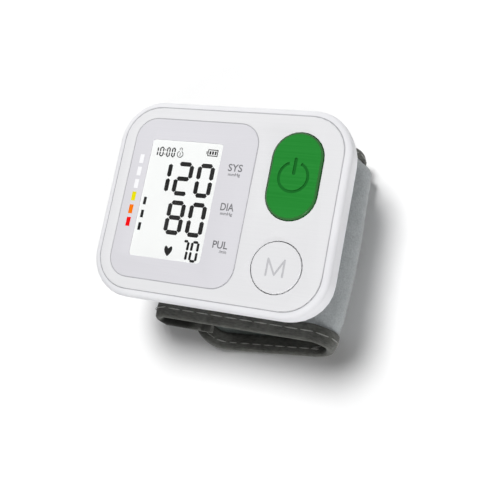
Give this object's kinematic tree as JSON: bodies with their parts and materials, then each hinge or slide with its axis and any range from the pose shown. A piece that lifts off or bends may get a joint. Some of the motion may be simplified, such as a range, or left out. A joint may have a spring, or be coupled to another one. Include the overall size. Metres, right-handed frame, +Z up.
{
  "type": "wrist blood pressure monitor",
  "caption": "Rounded white wrist monitor with a display window, a long start button and a round memory button, on a padded cuff folded into a flat loop.",
  "frame": {"origin": "on the surface that the strap lies on, under the middle of the face", "axes": "+X to the right of the display, towards the buttons; +Y to the top of the display; +Z up, out of the face"},
  "size_m": [0.0826, 0.0771, 0.0444],
  "materials": {
    "housing_white": "satin white",
    "plate_white": "fine horizontal brushing",
    "panel_lilac": "satin lilac grey",
    "window_clear": "clear",
    "lcd_white": "white display",
    "inner_black": "matte black",
    "board_green": "solder mask",
    "button_green": "brushed green",
    "soft_rubber": "translucent grey",
    "steel": "plain",
    "cell_wrap": "plain wrap",
    "contact_brass": "plain",
    "velour_grey": "brushed loop velour",
    "lining_dark": "soft dark olive lining",
    "tape_charcoal": "ribbed binding",
    "hook_black": "hook tape"
  },
  "bodies": {
    "housing": {"front_shell": "housing_white", "rear_shell": "housing_white", "front_plate": "plate_white", "display_panel": "panel_lilac", "display_window": "window_clear", "lcd_module": "lcd_white", "lcd_holder": "inner_black", "circuit_board": "board_green", "start_key_dome": "soft_rubber", "memory_key_dome": "soft_rubber", "housing_screw_1": "steel", "housing_screw_2": "steel", "housing_screw_3": "steel", "housing_screw_4": "steel", "battery_tray": "housing_white", "battery_1": "cell_wrap", "battery_2": "cell_wrap", "battery_leaf_1": "contact_brass", "battery_leaf_2": "contact_brass", "pump_motor": "steel", "pump_head": "inner_black", "pump_hose": "soft_rubber", "air_manifold": "inner_black", "valve_hose": "soft_rubber", "release_valve": "inner_black", "pressure_sensor": "inner_black", "buzzer": "inner_black", "cuff_base_plate": "housing_white", "air_nipple": "housing_white", "cuff_cover": "velour_grey", "cuff_lining": "lining_dark", "cuff_bladder": "soft_rubber", "cuff_tape_near": "tape_charcoal", "cuff_tape_far": "tape_charcoal", "tab_stiffener": "housing_white"},
    "start_key": {"start_button": "button_green"},
    "memory_key": {"memory_button": "plate_white"},
    "door": {"battery_door": "housing_white", "door_contact": "contact_brass"},
    "bend": {"bend_cover": "velour_grey", "bend_lining": "lining_dark", "bend_pad": "soft_rubber", "bend_tape_near": "tape_charcoal", "bend_tape_far": "tape_charcoal"},
    "strap": {"strap_cover": "velour_grey", "strap_lining": "lining_dark", "strap_pad": "soft_rubber", "strap_tape": "tape_charcoal", "strap_hooks": "hook_black"}
  },
  "joints": [
    {"name": "start_button_press", "type": "slide", "parent": "housing", "child": "start_key", "axis": [0, 0, -1], "range_m": [0, 0.0008], "stiffness_N_per_m": 1500, "deforming": ["start_key_dome"]},
    {"name": "memory_button_press", "type": "slide", "parent": "housing", "child": "memory_key", "axis": [0, 0, -1], "range_m": [0, 0.0008], "stiffness_N_per_m": 1500, "deforming": ["memory_key_dome"]},
    {"name": "battery_door_slide", "type": "slide", "parent": "housing", "child": "door", "axis": [-1, 0, 0], "range_m": [0, 0.022]},
    {"name": "cuff_bend_open", "type": "hinge", "parent": "housing", "child": "bend", "pos_m": [0.0296, 0, 0.0172], "axis": [0.017, -0.9999, 0], "range_deg": [0, 35]},
    {"name": "strap_open", "type": "hinge", "parent": "bend", "child": "strap", "pos_m": [0.0296, -0.0039, 0], "axis": [0.017, -0.9999, 0], "range_deg": [0, 52.5]}
  ],
  "couplings": [
    {"joint": "strap_open", "follows": "cuff_bend_open", "ratio": 1.5}
  ]
}
